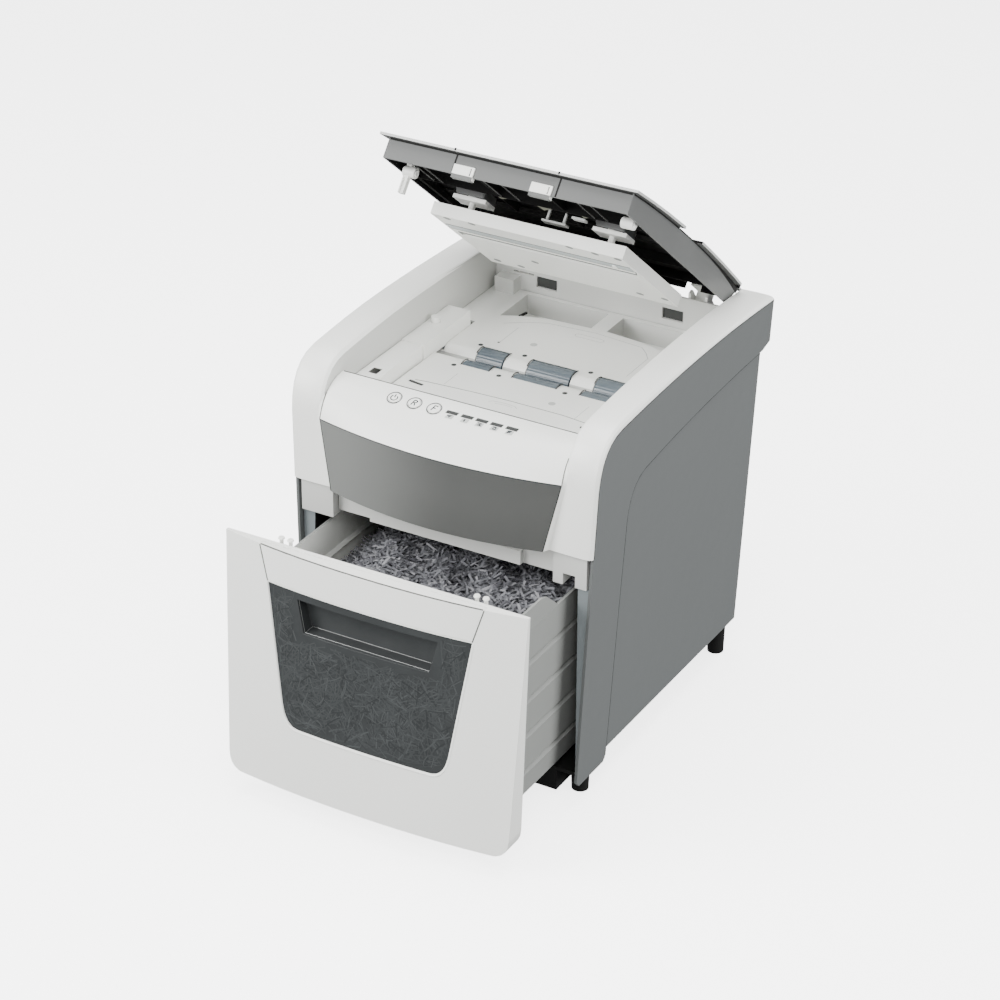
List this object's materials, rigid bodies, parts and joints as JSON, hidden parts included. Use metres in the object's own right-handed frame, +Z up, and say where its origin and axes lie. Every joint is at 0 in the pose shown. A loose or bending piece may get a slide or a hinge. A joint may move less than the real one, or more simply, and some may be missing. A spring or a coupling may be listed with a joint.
{
  "type": "paper shredder",
  "caption": "Desk-side paper shredder with a sheet-feed tray under a hinged lid, a control fascia and a pull-out waste bin with a dark window.",
  "frame": {"origin": "middle of the bounding box at the floor, with the lid open and the drawer part open", "axes": "+X to the machine's right seen from the front, +Y to its back, +Z up"},
  "size_m": [0.3348, 0.5175, 0.5923],
  "materials": {
    "white": "off-white moulded ABS, satin with a fine grain",
    "side_grey": "mid grey moulded plastic, fine texture",
    "panel_grey": "dark grey satin plastic",
    "pillar_grey": "bluish grey plastic",
    "bin_grey": "light grey plastic",
    "black": "black plastic",
    "smoke": "dark smoked clear plastic",
    "rubber": "grey rubber sleeve",
    "steel": "machined steel",
    "nylon": "natural nylon",
    "board": "green circuit board"
  },
  "bodies": {
    "housing": {"base_pan": "black", "foot_front_left": "black", "foot_front_right": "black", "foot_rear_left": "black", "foot_rear_right": "black", "side_panel_left": "side_grey", "side_panel_right": "side_grey", "inner_pillar_left": "pillar_grey", "inner_pillar_right": "pillar_grey", "rear_panel": "side_grey", "power_inlet": "black", "arch_cover_left": "white", "arch_cover_right": "white", "control_fascia": "white", "front_panel": "panel_grey", "guide_frame": "white", "feed_bed_front": "white", "feed_bed_rear": "white", "sensor_box_front": "white", "sensor_box_rear": "white", "hinge_bracket_left": "white", "hinge_bracket_right": "white", "chassis_plate_left": "steel", "chassis_plate_right": "steel", "motor": "steel", "control_board": "board"},
    "button_power": {"button_power": "white"},
    "button_reverse": {"button_reverse": "white"},
    "button_forward": {"button_forward": "white"},
    "interlock_plunger": {"interlock_plunger": "white"},
    "cutter_front": {"cutter_front": "steel", "sync_gear_front": "nylon"},
    "cutter_rear": {"cutter_rear": "steel", "sync_gear_rear": "nylon", "drive_gear": "nylon"},
    "idler": {"idler_gear": "nylon"},
    "motor_pinion": {"motor_pinion": "nylon"},
    "feed_rear": {"feed_shaft_rear": "steel", "feed_roller_rear_left": "rubber", "feed_roller_rear_centre": "rubber", "feed_roller_rear_right": "rubber", "feed_gear_rear": "nylon"},
    "feed_front": {"feed_shaft_front": "steel", "feed_roller_front_left": "rubber", "feed_roller_front_centre": "rubber", "feed_roller_front_right": "rubber", "feed_gear_front": "nylon"},
    "drawer": {"drawer_front": "white", "drawer_insert": "white", "drawer_window": "smoke", "bin": "bin_grey"},
    "lid": {"lid_shell": "white", "lid_catch": "white", "lid_frame": "black", "plate_guide_left": "white", "plate_guide_right": "white", "lid_hook": "white", "hinge_arm_left": "white", "hinge_arm_right": "white"},
    "plate": {"pressure_plate": "white"}
  },
  "joints": [
    {"name": "button_power_travel", "type": "slide", "parent": "housing", "child": "button_power", "axis": [0, 0.3242, -0.946], "range_m": [0, 0.0006], "stiffness_N_per_m": 400, "springref_m": -0.0005},
    {"name": "button_reverse_travel", "type": "slide", "parent": "housing", "child": "button_reverse", "axis": [0, 0.318, -0.9481], "range_m": [0, 0.0006], "stiffness_N_per_m": 400, "springref_m": -0.0005},
    {"name": "button_forward_travel", "type": "slide", "parent": "housing", "child": "button_forward", "axis": [0, 0.3145, -0.9492], "range_m": [0, 0.0006], "stiffness_N_per_m": 400, "springref_m": -0.0005},
    {"name": "plunger_travel", "type": "slide", "parent": "housing", "child": "interlock_plunger", "axis": [0, 0, -1], "range_m": [0, 0.003], "stiffness_N_per_m": 150, "springref_m": -0.002},
    {"name": "cutter_rear_spin", "type": "hinge", "parent": "housing", "child": "cutter_rear", "pos_m": [0, 0.08375, 0.298], "axis": [1, 0, 0], "continuous": true},
    {"name": "cutter_front_spin", "type": "hinge", "parent": "housing", "child": "cutter_front", "pos_m": [0, 0.05575, 0.298], "axis": [1, 0, 0], "continuous": true},
    {"name": "idler_spin", "type": "hinge", "parent": "housing", "child": "idler", "pos_m": [0, 0.09962, 0.31601], "axis": [1, 0, 0], "continuous": true},
    {"name": "motor_pinion_spin", "type": "hinge", "parent": "housing", "child": "motor_pinion", "pos_m": [0, 0.12575, 0.298], "axis": [1, 0, 0], "continuous": true},
    {"name": "feed_rear_spin", "type": "hinge", "parent": "housing", "child": "feed_rear", "pos_m": [0, 0.08575, 0.338], "axis": [1, 0, 0], "continuous": true},
    {"name": "feed_front_spin", "type": "hinge", "parent": "housing", "child": "feed_front", "pos_m": [0, 0.05375, 0.338], "axis": [1, 0, 0], "continuous": true},
    {"name": "drawer_slide", "type": "slide", "parent": "housing", "child": "drawer", "axis": [0, -1, 0], "range_m": [-0.107, 0.17]},
    {"name": "lid_hinge", "type": "hinge", "parent": "housing", "child": "lid", "pos_m": [0, 0.23625, 0.373], "axis": [-1, 0, 0], "range_deg": [-39.6, 10]},
    {"name": "plate_travel", "type": "slide", "parent": "lid", "child": "plate", "axis": [0, 0.6374, 0.7705], "range_m": [0, 0.007], "stiffness_N_per_m": 250, "springref_m": -0.006}
  ],
  "couplings": [
    {"joint": "cutter_front_spin", "follows": "cutter_rear_spin", "ratio": -1},
    {"joint": "idler_spin", "follows": "cutter_rear_spin", "ratio": -1.4},
    {"joint": "feed_rear_spin", "follows": "cutter_rear_spin", "ratio": 0.875},
    {"joint": "feed_front_spin", "follows": "cutter_rear_spin", "ratio": -0.875},
    {"joint": "motor_pinion_spin", "follows": "cutter_rear_spin", "ratio": -3.6667}
  ]
}
